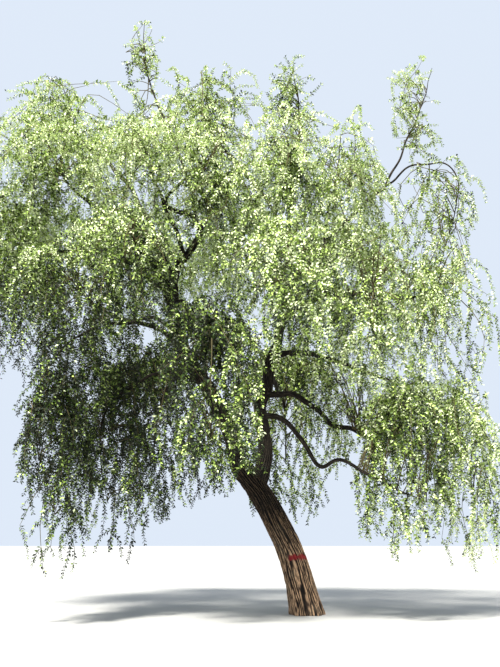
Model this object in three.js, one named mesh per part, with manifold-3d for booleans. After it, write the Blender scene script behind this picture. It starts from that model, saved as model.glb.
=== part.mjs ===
// A weeping spindle tree: a leaning trunk, its forked stems and boughs, and masses of hanging leaves.
// Millimetres, +Z up, with the flat cut under the trunk at the origin and the open front towards -Y.
import * as THREE from 'three';
import Module from 'manifold-3d';

const wasm = await Module();
wasm.setup();
const { Manifold, Mesh } = wasm;

const UP = new THREE.Vector3(0, 0, 1);
const DOWN = new THREE.Vector3(0, 0, -1);

// Driving dimensions: the clear gap between neighbours and the height of the flat cut
const GAP = 0.3;
const GROUND = 0;

// Root flare of the trunk and the lobes that run down into its roots
const FLARE = 48;
const FLARE_HEIGHT = 430;
const ROOT_LOBES = 5;
const ROOT_LOBE_DEPTH = 34;

// Collar where a limb leaves the side of its parent, as shares of the limb's own radius
const COLLAR = 0.45;
const COLLAR_LENGTH = 2.6;

// Boughs that carry a mass: their arch as a share of their span, their radius as a share of the
// parent's, and how far out and how far up they enter the mass as shares of its reach
const BOUGH_ARCH = 0.13;
const BOUGH_SHARE = 0.62;
const BOUGH_THICKEST = 62;
const BOUGH_TIP = 36;
const BOUGH_ENTRY = 0.72;
const BOUGH_RISE = 0.18;
const BOUGH_SIDES = 5;
const BOUGH_STATIONS = 4;

// The three-sided stem inside a mass, which goes on from its bough and thins by a share
const STEM_TAPER = 0.62;
const STEM_STATIONS = 3;
const STEM_BEND = 0.45;

// How far the space of a mass goes from an ellipsoid (2) towards a box
const SQUARENESS = 2.6;

// Sprays of a mass: a three-sided twig rooted in the stem, then a hanging blade of leaves
const SPRAYS = 17;
const SPRAY_TRIES = 30;
const FIRST_SPRAY = 0.12;
const TWIG_RADII = [7, 11];
const TWIG_INNER = 0.3;

// Blades: length as a share of the mean reach of the mass, the rest as shares of that length
const BLADE_LENGTH = 0.95;
const BLADE_WIDTH = 0.5;
const BLADE_THICKNESS = 0.018;
const BLADE_WIDEST = 0.6;
const BLADE_DROOP = 1.5;
const BLADE_SWAY = 1;
const TIP_REACH = 0.98;

// Clear distances to the walls between masses, and to limbs and other sprays
const WALL_CLEAR = 15;
const LIMB_CLEAR = 4;

// Trunk, stems and main boughs. Each row names the limb it leaves, how far along that limb (0 to 1),
// the points it passes through, and its radii at the start and the end.
const LIMBS = [
  {
    name: 'trunk', sides: 16, stations: 10, radii: [266, 198],
    path: [[50, 0, -240], [0, 0, 0], [-266, 0, 1060], [-577, 0, 1730], [-920, 0, 2320], [-1290, 0, 2810]],
  },
  {
    name: 'left_stem', from: 'trunk', at: 1, sides: 10, stations: 7, radii: [165, 96],
    path: [[-1466, -150, 3410], [-1816, -350, 4090], [-2400, -580, 5080], [-2634, -750, 6260]],
  },
  {
    name: 'centre_stem', from: 'trunk', at: 0.84, sides: 10, stations: 7, radii: [140, 105],
    path: [[-760, 200, 3110], [-870, 300, 3830], [-750, 300, 4440], [-540, 300, 5200]],
  },
  {
    name: 'hooked_stem', from: 'left_stem', at: 1, sides: 8, stations: 9, radii: [90, 42],
    path: [
      [-2490, -800, 6640], [-2276, -820, 6860], [-2084, -860, 7160], [-2041, -900, 7370],
      [-2238, -960, 7620], [-2528, -1050, 7700],
    ],
  },
  {
    name: 'top_stem', from: 'centre_stem', at: 1, sides: 8, stations: 6, radii: [96, 26],
    path: [[-300, 400, 6470], [-220, 500, 8050], [-60, 400, 9390]],
  },
  {
    name: 'right_bough', from: 'centre_stem', at: 0.95, sides: 7, stations: 7, radii: [60, 27],
    path: [[10, 300, 5100], [560, 300, 4930], [1390, 300, 4660], [1810, 200, 4480], [2330, 100, 4240]],
  },
  {
    name: 'stub_bough', from: 'centre_stem', at: 0.66, sides: 7, stations: 6, radii: [60, 38],
    path: [[-150, -200, 4130], [240, -400, 3790], [500, -500, 3520], [850, -800, 3410], [1350, -1000, 3110]],
  },
  {
    name: 'dipping_bough', from: 'centre_stem', at: 0.5, sides: 7, stations: 9, radii: [55, 25],
    path: [[-480, 0, 3780], [-170, -400, 3380], [250, -1000, 2720], [560, -1300, 2790], [1100, -1800, 2430]],
  },
  {
    name: 'rising_bough', from: 'top_stem', at: 0.25, sides: 7, stations: 6, radii: [58, 32],
    path: [[200, 600, 7140], [980, 700, 8080], [1600, 800, 8690], [1910, 800, 8950]],
  },
  {
    name: 'leader_shoot', from: 'rising_bough', at: 1, sides: 6, stations: 4, radii: [29, 18],
    path: [[2200, 800, 9500], [2450, 800, 10050]],
  },
  {
    name: 'arched_shoot', from: 'rising_bough', at: 0.92, sides: 6, stations: 4, radii: [26, 18],
    path: [[2150, 700, 9140], [2420, 600, 9330], [2840, 500, 9360]],
  },
  {
    name: 'left_level_bough', from: 'left_stem', at: 0.74, sides: 7, stations: 6, radii: [42, 22],
    path: [[-2900, -1200, 5450], [-3320, -1600, 5270], [-3790, -1900, 5150], [-4120, -2050, 4900]],
  },
  {
    name: 'left_low_bough', from: 'left_stem', at: 0.44, sides: 7, stations: 5, radii: [42, 22],
    path: [[-2530, -600, 4540], [-3000, -700, 4440], [-3420, -750, 4150]],
  },
];

// Masses of foliage: the limb that carries each, how far along it, the centre and the reach of its
// space, and how high in that space its stem ends (1 is the top, -1 the bottom). Some rows add how far
// the stem leans towards +X, or the radius at the tip of the bough. A mass at the end of a limb needs
// no bough of its own.
const MASSES = [
  {
    name: 'left_curtain', from: 'left_level_bough', at: 1,
    centre: [-4390, -2100, 2850], reach: [690, 1050, 2100], stemEnd: -0.5,
  },
  {
    name: 'inner_left_curtain', from: 'left_low_bough', at: 1,
    centre: [-3720, -660, 3090], reach: [940, 1200, 2110], stemEnd: -0.5,
  },
  {
    name: 'front_centre', from: 'left_stem', at: 0.9,
    centre: [-1730, -2500, 4040], reach: [1060, 1350, 2080], stemEnd: -0.5,
  },
  {
    name: 'right_curtain', from: 'dipping_bough', at: 1,
    centre: [1650, -1550, 2990], reach: [970, 1250, 1930], stemEnd: -0.5, lean: 0.4,
  },
  {
    name: 'right_low_curtain', from: 'right_bough', at: 1,
    centre: [2850, -450, 2880], reach: [990, 1400, 2090], stemEnd: -0.5, lean: 0.3,
  },
  {
    name: 'left_middle', from: 'left_stem', at: 0.62,
    centre: [-4300, -1700, 5340], reach: [1280, 1500, 1590], stemEnd: 0.4,
  },
  {
    name: 'left_end', from: 'left_stem', at: 0.95,
    centre: [-6000, 400, 7020], reach: [1260, 2000, 2460], stemEnd: 0.3,
  },
  {
    name: 'front_left', from: 'left_stem', at: 0.8,
    centre: [-3140, -2900, 5960], reach: [1200, 1500, 1540], stemEnd: 0.4,
  },
  {
    name: 'front_right', from: 'top_stem', at: 0.12,
    centre: [-450, -2650, 5540], reach: [1280, 1600, 1690], stemEnd: 0.3,
  },
  {
    name: 'right_middle', from: 'top_stem', at: 0.22,
    centre: [1270, -1750, 5370], reach: [1210, 1600, 1730], stemEnd: 0.3,
  },
  {
    name: 'right_end', from: 'top_stem', at: 0.17,
    centre: [2760, -150, 5700], reach: [1070, 1800, 2150], stemEnd: 0.3,
  },
  {
    name: 'upper_left', from: 'left_stem', at: 0.97,
    centre: [-5090, -800, 8330], reach: [1560, 1800, 1630], stemEnd: 0.4,
  },
  {
    name: 'upper_front_left', from: 'hooked_stem', at: 0.3,
    centre: [-3090, -2000, 8030], reach: [1230, 1650, 1440], stemEnd: 0.4,
  },
  {
    name: 'upper_front', from: 'hooked_stem', at: 1,
    centre: [-1740, -2000, 7600], reach: [1230, 1650, 1700], stemEnd: 0.4,
  },
  {
    name: 'upper_front_right', from: 'top_stem', at: 0.4,
    centre: [-290, -1600, 8040], reach: [1220, 1650, 1590], stemEnd: 0.4,
  },
  {
    name: 'upper_right', from: 'rising_bough', at: 0.45,
    centre: [750, -700, 7970], reach: [1180, 1700, 1830], stemEnd: 0.4,
  },
  {
    name: 'top_left', from: 'hooked_stem', at: 0.08,
    centre: [-5170, 1200, 10390], reach: [1910, 2000, 1160], stemEnd: 0.5,
  },
  {
    name: 'top_shoot', from: 'hooked_stem', at: 0.62,
    centre: [-3310, -600, 10720], reach: [440, 500, 1650], stemEnd: 0.85, tip: 17,
  },
  {
    name: 'top_centre', from: 'top_stem', at: 0.52,
    centre: [-2140, 400, 10110], reach: [1790, 2100, 1320], stemEnd: 0.5,
  },
  {
    name: 'top_tower', from: 'top_stem', at: 1,
    centre: [-130, 100, 10250], reach: [690, 950, 1540], stemEnd: 0.75,
  },
  {
    name: 'right_leader', from: 'leader_shoot', at: 1,
    centre: [2640, 800, 10690], reach: [690, 800, 1390], stemEnd: 0.8, lean: 0.6,
  },
  {
    name: 'right_shoulder', from: 'arched_shoot', at: 1,
    centre: [2930, 500, 7730], reach: [980, 1500, 1750], stemEnd: -0.4,
  },
  {
    name: 'right_inner', from: 'stub_bough', at: 1,
    centre: [850, -900, 3890], reach: [940, 1100, 1250], stemEnd: -0.4,
  },
  {
    name: 'back_left', from: 'left_stem', at: 0.87,
    centre: [-4000, 2600, 7500], reach: [1950, 1900, 2100], stemEnd: 0.4,
  },
  {
    name: 'back_centre', from: 'top_stem', at: 0.28,
    centre: [-1500, 3100, 7900], reach: [1800, 1750, 2100], stemEnd: 0.4,
  },
  {
    name: 'back_right', from: 'top_stem', at: 0.34,
    centre: [1150, 2600, 7200], reach: [1900, 1850, 2200], stemEnd: 0.4,
  },
  {
    name: 'back_low_left', from: 'left_stem', at: 0.5,
    centre: [-3300, 2600, 3950], reach: [1600, 1500, 2350], stemEnd: -0.4,
  },
  {
    name: 'back_low_right', from: 'centre_stem', at: 0.72,
    centre: [-250, 3100, 4050], reach: [1600, 1500, 2300], stemEnd: -0.4,
  },
].map((mass, index) => ({
  ...mass,
  seed: 100 + index * 40,
  centre: new THREE.Vector3(...mass.centre),
  reach: new THREE.Vector3(...mass.reach),
}));

// Colours
const BARK = new THREE.MeshStandardMaterial({ color: 0x6b5f52, roughness: 0.95, metalness: 0 });
const DARK_BARK = new THREE.MeshStandardMaterial({ color: 0x3a342d, roughness: 0.95, metalness: 0 });
const GREENS = [0x6f8a2c, 0x86a038, 0x5c7a2a, 0x94a84a];

// Seeded random numbers between 0 and 1
function randomFrom(seed) {
  let state = seed >>> 0;
  return () => {
    state = (state + 0x6d2b79f5) >>> 0;
    let mixed = Math.imul(state ^ (state >>> 15), 1 | state);
    mixed = (mixed + Math.imul(mixed ^ (mixed >>> 7), 61 | mixed)) ^ mixed;
    return ((mixed ^ (mixed >>> 14)) >>> 0) / 4294967296;
  };
}

function solidFrom(corners, triangles) {
  const vertProperties = new Float32Array(corners.flatMap((corner) => corner.toArray()));
  const triVerts = new Uint32Array(triangles.flat());
  return new Manifold(new Mesh({ numProp: 3, vertProperties, triVerts }));
}

// Stations along a curve: evenly spaced points with their direction
function stationsOf(curve, count) {
  return Array.from({ length: count + 1 }, (_, index) => ({
    part: index / count,
    point: curve.getPointAt(index / count),
    tangent: curve.getTangentAt(index / count),
  }));
}

// A closed tube through stations, with flat ends
function tube(stations, sides, radiusAt) {
  const corners = [];
  const alongY = Math.abs(stations[0].tangent.y) > 0.9;
  const side = alongY ? new THREE.Vector3(1, 0, 0) : new THREE.Vector3(0, 1, 0);
  stations.forEach(({ part, point, tangent }) => {
    side.addScaledVector(tangent, -side.dot(tangent)).normalize();
    const across = tangent.clone().cross(side);
    for (let index = 0; index < sides; index += 1) {
      const turn = (2 * Math.PI * index) / sides;
      const radius = radiusAt(part, turn);
      corners.push(point.clone()
        .addScaledVector(side, radius * Math.cos(turn))
        .addScaledVector(across, radius * Math.sin(turn)));
    }
  });
  const triangles = [];
  for (let ring = 0; ring < stations.length - 1; ring += 1) {
    for (let index = 0; index < sides; index += 1) {
      const low = ring * sides + index;
      const lowNext = ring * sides + ((index + 1) % sides);
      triangles.push([low, lowNext, lowNext + sides], [low, lowNext + sides, low + sides]);
    }
  }
  const last = (stations.length - 1) * sides;
  for (let index = 1; index < sides - 1; index += 1) {
    triangles.push([0, index + 1, index], [last, last + index, last + index + 1]);
  }
  return solidFrom(corners, triangles);
}

// A spray: a three-sided twig from the stem to its foot, then a blade with a raised midrib
function spray({ start, foot, tip, facing }) {
  const way = tip.clone().sub(foot);
  const length = way.length();
  way.normalize();
  const across = way.clone().cross(facing).normalize();
  const halfWidth = (length * BLADE_WIDTH) / 2;
  const ring = (place, along, half, height) => {
    const flat = across.clone().addScaledVector(along, -across.dot(along)).normalize();
    const raised = flat.clone().cross(along);
    return [
      place.clone().addScaledVector(flat, half),
      place.clone().addScaledVector(flat, -half),
      place.clone().addScaledVector(raised, height),
    ];
  };
  const twigWay = foot.clone().sub(start).normalize();
  const neckWay = twigWay.clone().add(way).normalize();
  const middle = foot.clone().lerp(tip, BLADE_WIDEST);
  const corners = [
    ...ring(start.clone(), twigWay, TWIG_RADII[0], TWIG_RADII[0]),
    ...ring(foot.clone(), neckWay, TWIG_RADII[1], TWIG_RADII[1]),
    ...ring(middle, way, halfWidth, length * BLADE_THICKNESS),
    tip.clone(),
  ];
  const triangles = [[0, 2, 1]];
  for (let low = 0; low < 6; low += 1) {
    const next = low - (low % 3) + ((low + 1) % 3);
    triangles.push([low, next, next + 3], [low, next + 3, low + 3]);
  }
  triangles.push([6, 7, 9], [7, 8, 9], [8, 6, 9]);
  return { corners, solid: solidFrom(corners, triangles) };
}

// The piece of a cut or fused solid that holds the most material
function mainPiece(solid) {
  return solid.decompose().reduce((best, piece) => (piece.volume() > best.volume() ? piece : best));
}

function lobedFlare(part, turn, length) {
  const fade = Math.exp(-Math.max(part * length + LIMBS[0].path[0][2], 0) / FLARE_HEIGHT);
  return fade * (FLARE + ROOT_LOBE_DEPTH * Math.cos(ROOT_LOBES * turn));
}

// A limb's curve, stations and radius along it
function planLimb(row, parent) {
  const path = row.path.map((point) => new THREE.Vector3(...point));
  if (parent) {
    const start = parent.curve.getPointAt(row.at);
    if (row.at === 1) start.addScaledVector(parent.end.tangent, GAP);
    path.unshift(start);
  }
  const curve = new THREE.CatmullRomCurve3(path, false, 'centripetal');
  const stations = stationsOf(curve, row.stations);
  if (parent && row.at === 1) stations[0].tangent = parent.end.tangent.clone();
  const length = curve.getLength();
  const [thick, thin] = row.radii;
  const collar = parent && row.at < 1 ? COLLAR : 0;
  const radiusAt = (part, turn) => {
    const taper = thick + (thin - thick) * part;
    const swell = 1 + collar * Math.exp((-part * length) / (COLLAR_LENGTH * thick));
    return taper * swell + (parent ? 0 : lobedFlare(part, turn, length));
  };
  return { ...row, curve, stations, radiusAt, end: stations[row.stations] };
}

// The solid of a limb, grown on all sides by a margin
function limbSolid(limb, margin) {
  const stations = limb.stations.map(({ part, point, tangent }) => {
    const outward = (part === 1 ? margin : 0) - (part === 0 ? margin : 0);
    return { part, tangent, point: point.clone().addScaledVector(tangent, outward) };
  });
  const sideMargin = margin / Math.cos(Math.PI / limb.sides);
  const solid = tube(stations, limb.sides, (part, turn) => limb.radiusAt(part, turn) + sideMargin);
  return limb.from ? solid : solid.trimByPlane(UP.toArray(), GROUND - margin);
}

function boxesMeet(one, other, margin) {
  return [0, 1, 2].every((axis) => one.min[axis] - margin < other.max[axis]
    && other.min[axis] - margin < one.max[axis]);
}

// Limbs are made from the trunk outwards, each cut clear of the ones before it
const limbs = new Map();

function addLimb(row) {
  const limb = planLimb(row, limbs.get(row.from));
  let solid = limbSolid(limb, 0);
  limbs.forEach((earlier) => {
    const follows = row.from === earlier.name && row.at === 1;
    if (follows || !boxesMeet(solid.boundingBox(), earlier.solid.boundingBox(), 1)) return;
    solid = solid.subtract(limbSolid(earlier, GAP));
  });
  limb.solid = mainPiece(solid.simplify(0.1));
  limbs.set(row.name, limb);
}

// How far a mass reaches along a direction
function reachAlong(mass, way) {
  return mass.reach.clone().multiply(way).length();
}

// The walls between a mass and each of its neighbours, shared out by their reach
function wallsOf(mass) {
  return MASSES.filter((other) => other !== mass).map((other) => {
    const way = other.centre.clone().sub(mass.centre);
    const distance = way.length();
    way.normalize();
    const own = reachAlong(mass, way);
    return { way, offset: (distance * own) / (own + reachAlong(other, way)) - WALL_CLEAR };
  });
}

function insideWalls(mass, point) {
  const away = point.clone().sub(mass.centre);
  return mass.walls.every(({ way, offset }) => away.dot(way) <= offset);
}

// Length of a direction under the norm that gives a mass its rounded-box shape
function squaredOff(way) {
  const sum = way.toArray().reduce((total, share) => total + Math.abs(share) ** SQUARENESS, 0);
  return sum ** (1 / SQUARENESS);
}

function insideSpace(mass, point) {
  return squaredOff(point.clone().sub(mass.centre).divide(mass.reach)) <= 1 && insideWalls(mass, point);
}

// A point pulled towards the centre until it lies inside its mass
function pulledIn(mass, point) {
  const inside = point.clone();
  while (!insideWalls(mass, inside)) inside.lerp(mass.centre, 0.05);
  return inside;
}

// The bough of a mass arches from its limb to the place where it enters the mass
function boughRow(mass) {
  const parent = limbs.get(mass.from);
  const start = parent.curve.getPointAt(mass.at);
  const back = start.clone().sub(mass.centre);
  const entry = back.multiplyScalar(BOUGH_ENTRY / back.clone().divide(mass.reach).length()).add(mass.centre);
  entry.z += BOUGH_RISE * mass.reach.z;
  const tip = pulledIn(mass, entry);
  const middle = start.clone().lerp(tip, 0.5);
  middle.z += BOUGH_ARCH * start.distanceTo(tip);
  const thick = Math.min(BOUGH_THICKEST, BOUGH_SHARE * parent.radiusAt(mass.at, 0));
  return {
    name: `${mass.name}_bough`, from: mass.from, at: mass.at, sides: BOUGH_SIDES, stations: BOUGH_STATIONS,
    radii: [thick, mass.tip ?? BOUGH_TIP], path: [middle.toArray(), tip.toArray()],
  };
}

// The stem of a mass goes on from its bough's tip
function stemOf(mass, carrier) {
  const { point, tangent } = carrier.end;
  const start = point.clone().addScaledVector(tangent, GAP);
  const crest = new THREE.Vector3(mass.lean ?? 0, 0, mass.stemEnd).multiply(mass.reach).add(mass.centre);
  const bend = start.clone().addScaledVector(tangent, STEM_BEND * start.distanceTo(crest));
  const curve = new THREE.QuadraticBezierCurve3(start, bend, crest);
  const stations = stationsOf(curve, STEM_STATIONS);
  stations[0].tangent = tangent.clone();
  const thick = carrier.radii[1];
  const solid = tube(stations, 3, (part) => THREE.MathUtils.lerp(thick, STEM_TAPER * thick, part));
  return { curve, solid };
}

// Directions spread evenly over a sphere
function evenDirection(index, count, turn) {
  const height = 1 - (2 * (index + 0.5)) / count;
  const angle = index * Math.PI * (3 - Math.sqrt(5)) + turn;
  const round = Math.sqrt(1 - height * height);
  return new THREE.Vector3(round * Math.cos(angle), round * Math.sin(angle), height);
}

function touches(solid, mass, obstacles) {
  const box = solid.boundingBox();
  return obstacles.some((other) => other.mass !== mass && boxesMeet(box, other.box, LIMB_CLEAR)
    && solid.minGap(other.solid, LIMB_CLEAR) < LIMB_CLEAR);
}

function fitsSpace(shape, mass, obstacles) {
  return shape.corners.every((corner) => insideSpace(mass, corner)) && !touches(shape.solid, mass, obstacles);
}

function nearest(places, point) {
  return places.reduce((best, place) => (place.distanceTo(point) < best.distanceTo(point) ? place : best));
}

// Where a spray starts, turns down and ends. Its tip lies on the border of the mass, and its blade
// faces out of the crown.
function planSpray(mass, heading, places, random) {
  const border = heading.clone().multiply(mass.reach).multiplyScalar(TIP_REACH / squaredOff(heading));
  const tip = pulledIn(mass, border.add(mass.centre));
  const sway = new THREE.Vector3(random() - 0.5, random() - 0.5, random() - 0.5);
  const way = heading.clone().addScaledVector(sway, BLADE_SWAY)
    .addScaledVector(DOWN, BLADE_DROOP * (1 - Math.max(heading.z, 0)))
    .normalize();
  const length = mass.bladeLength * THREE.MathUtils.lerp(0.7, 1.1, random());
  const foot = tip.clone().addScaledVector(way, -length);
  const start = nearest(places, foot.clone().addScaledVector(DOWN, 0.2 * length));
  const facing = tip.clone().sub(mass.centre).setZ(0).normalize()
    .add(new THREE.Vector3(random() - 0.5, random() - 0.5, 0.3));
  return { start, foot, tip, facing };
}

// One mass: its stem and sprays fused into one solid
function massSolid(mass, obstacles) {
  const pieces = [mass.stem.solid];
  const places = Array.from({ length: SPRAYS }, (_, index) => (
    mass.stem.curve.getPointAt(THREE.MathUtils.lerp(FIRST_SPRAY, 1, index / (SPRAYS - 1)))));
  for (let index = 0; index < SPRAYS; index += 1) {
    const random = randomFrom(mass.seed + index);
    const heading = evenDirection(index, SPRAYS, mass.seed);
    for (let tries = 0; tries < SPRAY_TRIES; tries += 1) {
      const plan = planSpray(mass, heading, places, random);
      const whole = spray(plan);
      const outer = spray({ ...plan, start: plan.start.clone().lerp(plan.foot, TWIG_INNER) });
      const fits = fitsSpace(outer, mass, obstacles) && !touches(whole.solid, mass, obstacles)
        && pieces.every((piece) => outer.solid.minGap(piece, LIMB_CLEAR) >= LIMB_CLEAR);
      if (fits) {
        pieces.push(whole.solid);
        places.splice(places.indexOf(plan.start), 1);
        break;
      }
    }
  }
  return mainPiece(Manifold.union(pieces).simplify(0.5));
}

function meshOf(name, solid, material) {
  const { vertProperties, triVerts } = solid.getMesh();
  const geometry = new THREE.BufferGeometry();
  geometry.setAttribute('position', new THREE.BufferAttribute(vertProperties, 3));
  geometry.setIndex(new THREE.BufferAttribute(triVerts, 1));
  const mesh = new THREE.Mesh(geometry, material.clone());
  mesh.name = name;
  return mesh;
}

// The tree
const tree = new THREE.Group();
MASSES.forEach((mass) => {
  mass.walls = wallsOf(mass);
  mass.bladeLength = (BLADE_LENGTH * (mass.reach.x + mass.reach.y + mass.reach.z)) / 3;
});
LIMBS.forEach(addLimb);
MASSES.filter((mass) => mass.at < 1).forEach((mass) => addLimb(boughRow(mass)));
MASSES.forEach((mass) => {
  mass.stem = stemOf(mass, limbs.get(mass.at < 1 ? `${mass.name}_bough` : mass.from));
});
const obstacles = [
  ...[...limbs.values()].map(({ solid }) => ({ solid, box: solid.boundingBox() })),
  ...MASSES.map((mass) => ({ mass, solid: mass.stem.solid, box: mass.stem.solid.boundingBox() })),
];
limbs.forEach((limb) => tree.add(meshOf(limb.name, limb.solid, limb.from ? DARK_BARK : BARK)));
MASSES.forEach((mass, index) => {
  const material = new THREE.MeshStandardMaterial({
    color: GREENS[index % GREENS.length], roughness: 0.7, metalness: 0,
  });
  tree.add(meshOf(mass.name, massSolid(mass, obstacles), material));
});

export default tree;
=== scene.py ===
import math

import bmesh
import bpy
import numpy as np
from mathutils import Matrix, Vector, noise


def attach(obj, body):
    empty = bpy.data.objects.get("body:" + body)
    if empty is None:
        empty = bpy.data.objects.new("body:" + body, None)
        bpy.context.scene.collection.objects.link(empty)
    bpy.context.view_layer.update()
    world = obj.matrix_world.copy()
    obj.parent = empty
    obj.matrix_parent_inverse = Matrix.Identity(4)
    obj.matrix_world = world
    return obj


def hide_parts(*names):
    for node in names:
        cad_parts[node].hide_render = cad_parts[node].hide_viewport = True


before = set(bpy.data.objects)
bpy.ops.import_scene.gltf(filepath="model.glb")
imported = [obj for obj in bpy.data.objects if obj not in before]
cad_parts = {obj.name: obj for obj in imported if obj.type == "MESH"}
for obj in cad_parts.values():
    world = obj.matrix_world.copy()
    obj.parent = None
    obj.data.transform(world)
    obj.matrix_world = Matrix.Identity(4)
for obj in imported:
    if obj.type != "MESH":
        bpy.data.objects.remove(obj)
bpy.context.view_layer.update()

UP = np.array([0.0, 0.0, 1.0])
DOWN = -UP

# The view: where the camera stands, how far it tilts up, its focal length in pixels of a picture
# 667 pixels high, and how far it sees
CAMERA_PLACE = (-1.075, -17.63, 1.37)
CAMERA_TILT = math.radians(13)
FOCAL_PIXELS = 895
PICTURE_HEIGHT = 667
SENSOR = 36.0
CLIP_END = 500

# A soft sun, a plain sky, and a pale floor just under the ground
SUN_STRENGTH = 10
SUN_ANGLE = math.radians(8)
SUN_COLOUR = (1.0, 0.965, 0.9)
SUN_TURN = (math.radians(33), math.radians(-16), 0)
SKY_COLOUR = (0.78, 0.87, 1.0)
SKY_STRENGTH = 0.95
FLOOR_SIZE = 400
FLOOR_DROP = 0.002
FLOOR_COLOUR = (0.37, 0.37, 0.36)

# Curves: points in each span of a limb and of a branch, points in the stem of a mass, and the share
# of its length over which a curve's way is read
LIMB_STEPS = 24
BRANCH_STEPS = 10
STEM_STEPS = 40
WAY_STEP = 0.004

# Root flare of the trunk and the lobes that run down into its roots
FLARE = 0.048
FLARE_HEIGHT = 0.43
ROOT_LOBES = 5
ROOT_LOBE_DEPTH = 0.034

# Collar where a limb leaves the side of its parent, as shares of the limb's own radius
COLLAR = 0.45
COLLAR_LENGTH = 2.6

# Boughs that carry a mass: their arch as a share of their span, their radius as a share of the
# parent's, and how far out and how far up they enter the mass as shares of its reach
BOUGH_ARCH = 0.13
BOUGH_SHARE = 0.62
BOUGH_THICKEST = 0.062
BOUGH_TIP = 0.036
BOUGH_ENTRY = 0.72
BOUGH_RISE = 0.18

# The stem inside a mass, which goes on from its bough and thins by a share
STEM_TAPER = 0.3
STEM_BEND = 0.45

# The space of a mass: how far its shape goes from an ellipsoid (2) towards a box, the distance that
# twigs keep from the walls between masses, the step by which a point is drawn in, and its seed
SQUARENESS = 2.6
WALL_CLEAR = 0.015
PULL_STEP = 0.05
FIRST_SEED = 100
SEED_STEP = 40

# Branches inside a mass, each with a drooping end: how many there are, where on the bough and the
# stem they start, how deep in the mass an end begins, and its length as a share of the mean reach
BRANCHES = 26
BRANCH_TRIES = 30
BOUGH_PLACES = 10
STEM_PLACES = 44
FIRST_ON_BOUGH = 0.5
FIRST_ON_LIMB = 0.88
LAST_ON_BOUGH = 0.98
FIRST_BRANCH = 0.06
START_DROP = 0.2
FOOT_DEPTH = 0.95
END_LENGTH = 0.95
END_LEAST = 0.7
END_SPREAD = 0.4
END_DROOP = 1.7
END_SWAY = 1.0
TIP_REACHES = (0.74, 1.0)
BRANCH_ARCH = 0.14
BRANCH_CROOK = 0.09
BRANCH_CROOK_RATE = 2.6
BRANCH_RADII = (0.0125, 0.0035)
BRANCH_STATIONS = 7
BRANCH_SIDES = 4

# Hanging shoots along each branch: how many a mass gets for its size, how they crowd towards its
# end, set out and droop, and how far they may reach towards the border of the mass
SHOOTS_PER_SIZE = 165
SHOOT_SIZE_POWER = 0.8
SHOOT_COUNT_SWING = (0.8, 1.2)
FEWEST_SHOOTS = 3
FIRST_SHOOT = 0.15
SHOOT_JITTER = 0.9
SHOOT_SPREAD = 1.25
SHOOT_CROWDING = 0.55
SHOOT_ALONG = 0.55
SHOOT_OUTWARD = 0.8
SHOOT_LIFT = 0.35
SHOOT_LENGTHS = (0.4, 1.2)
SHOOT_SHORTEST = 0.14
SHOOT_DROOPS = (1.6, 3.4)
SHOOT_SWAY = 0.35
SHOOT_STATIONS = 4
SHOOT_SIDES = 3
SHOOT_RADII = (0.0036, 0.0012)
SHOOT_LIMITS = (0.84, 1.1)
SHOOT_LIMIT_POWER = 1.4
TIP_MARGIN = 0.08
FITTING_ROUNDS = 6

# Openings in the foliage: shoots are left out where slow noise is low
CLUMP_RATE = 0.85
CLUMP_RANGE = (-0.42, 0.1)
CLUMP_LEAST = 0.12

# Leaves in pairs along a shoot: their spacing and jitter, their size and shape, the way they point,
# and how they face up and out of the crown
LEAF_SPACING = 0.033
FEWEST_PAIRS = 2
PAIR_START = 0.6
PAIR_JITTER = 0.25
LEAF_LENGTH = 0.076
LEAF_SIZES = (0.72, 1.18)
LEAF_SIZE_FIRST = 1.05
LEAF_SIZE_LOSS = 0.35
LEAF_WIDTH = 0.54
LEAF_WIDTHS = (0.85, 1.1)
LEAF_WIDEST = 0.44
LEAF_FOLD = 0.16
LEAF_TURN = 0.5
LEAF_OUTWARD = 0.85
LEAF_ALONG = 0.45
LEAF_DROOP = 0.15
LEAF_SWAY = 0.2
LEAF_UPWARD = 0.9
LEAF_TILT = 0.75
LEAF_FACES = np.array([[0, 1, 2], [0, 2, 3]])

# Leaf colours from sunlit to shaded
LEAF_TONES = {
    "pale": (0.74, 0.83, 0.48),
    "sunlit": (0.41, 0.56, 0.13),
    "olive": (0.14, 0.215, 0.03),
    "green": (0.03, 0.062, 0.008),
    "deep": (0.008, 0.015, 0.003),
}

# How tones are dealt out: paler outward as painted light and darker inward as painted shade, with slow
# patches, a spread by shoot and a spread by leaf
CROWN_CENTRE = np.array([-1.4, 0.2, 5.8])
CROWN_REACH = np.array([5.6, 4.4, 5.8])
OUT_IN_CROWN = 0.6
OUT_IN_MASS = 0.4
TONE_START = 0.43
LIGHT_OUTWARD = 0.56
TONE_SHADE = 1.2
TONE_RATE = 0.5
TONE_SWING = 1.5
TONE_SPREAD = 0.8
LEAF_SPREAD = 1.5

# Shade in the lower crown: below this height, deeper towards the left up to a limit. Thin masses are
# darker throughout
SHADE_HEIGHT = 9
SHADE_POWER = 1.5
SHADE_MIDDLE = 0.9
SHADE_SLANT = 0.3
SHADE_RIGHT = 1.0
SHADE_MOST = 0.85
THIN_FULLNESS = 0.6
THIN_SHADE = 2.4

# Spines of limbs: the step between their places, the length over which they are smoothed, how far
# slow noise bends them, and the noise of each chain of limbs
SPINE_STEP = 0.01
FEWEST_STEPS = 4
SMOOTH_LENGTH = 0.16
CROOK = 0.07
CROOK_RATE = 1.7
CROOK_FADE = 0.5
CROOK_SPREAD = (11.3, 7.1)
CHAIN_SEED = 37.0

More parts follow.
